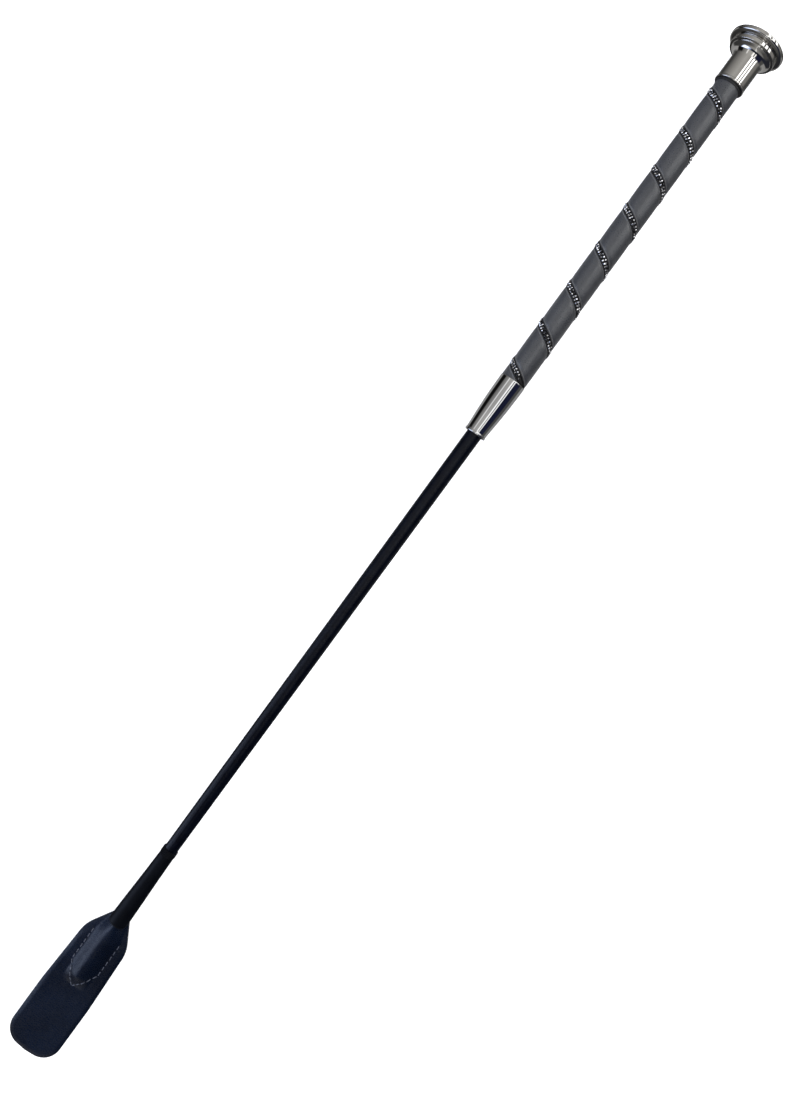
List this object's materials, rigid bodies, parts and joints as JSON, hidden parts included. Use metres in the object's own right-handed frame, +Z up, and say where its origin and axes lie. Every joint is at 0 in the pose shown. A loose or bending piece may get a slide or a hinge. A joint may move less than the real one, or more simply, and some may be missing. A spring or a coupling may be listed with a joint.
{
  "type": "riding crop",
  "caption": "Slim tapered riding crop with a flared metal cap, spiral-wrapped leather grip, metal ferrule, braided shaft and a flexing leather tongue.",
  "frame": {"origin": "bottom centre of the bounding box of the crop as it lies on a table", "axes": "+X from the leather tongue towards the flared cap, +Y across the tongue, +Z up from the table"},
  "size_m": [0.6502, 0.0308, 0.0308],
  "materials": {
    "glass_fibre": "pultruded glass-fibre rod, dull",
    "moulded_nylon": "plain moulded nylon",
    "braid": "tightly woven polyester thread, waxed",
    "foam_tape": "closed-cell padding",
    "grip_leather": "satin slate-grey smooth leather",
    "band_tape": "woven black tape",
    "edge_cord": "fine black cord",
    "stones": "faceted dark glass stones, polished",
    "gunmetal": "polished gunmetal plating",
    "neck_leather": "smooth black leather",
    "neck_thread": "bound black thread",
    "ring_rubber": "matt black rubber",
    "tongue_leather": "grained navy-black leather, skived edge",
    "stitch_thread": "waxed linen thread"
  },
  "bodies": {
    "crop": {"core_rod": "glass_fibre", "rod_tip_cap": "moulded_nylon", "braid_cover": "braid", "handle_tube": "moulded_nylon", "grip_padding": "foam_tape", "grip_leather": "grip_leather", "band_tape": "band_tape", "band_cord_lower": "edge_cord", "band_cord_upper": "edge_cord", "stone_row_lower": "stones", "stone_row_upper": "stones", "ferrule": "gunmetal", "ferrule_bush": "moulded_nylon", "neck_sleeve": "neck_leather", "neck_binding": "neck_thread", "cap_body": "gunmetal", "cap_plug": "moulded_nylon", "cap_disc": "gunmetal", "cap_mouth_ring": "ring_rubber", "tongue_front_pocket": "tongue_leather", "tongue_back_pocket": "tongue_leather", "pocket_stitching": "stitch_thread"},
    "tongue_flap": {"tongue_front_flap": "tongue_leather", "tongue_back_flap": "tongue_leather"}
  },
  "joints": [
    {"name": "tongue_flex", "type": "hinge", "parent": "crop", "child": "tongue_flap", "pos_m": [-0.28705, 0, 0.00226], "axis": [0, 1, 0], "range_deg": [-50, 50], "stiffness_Nm_per_rad": 0.2}
  ]
}
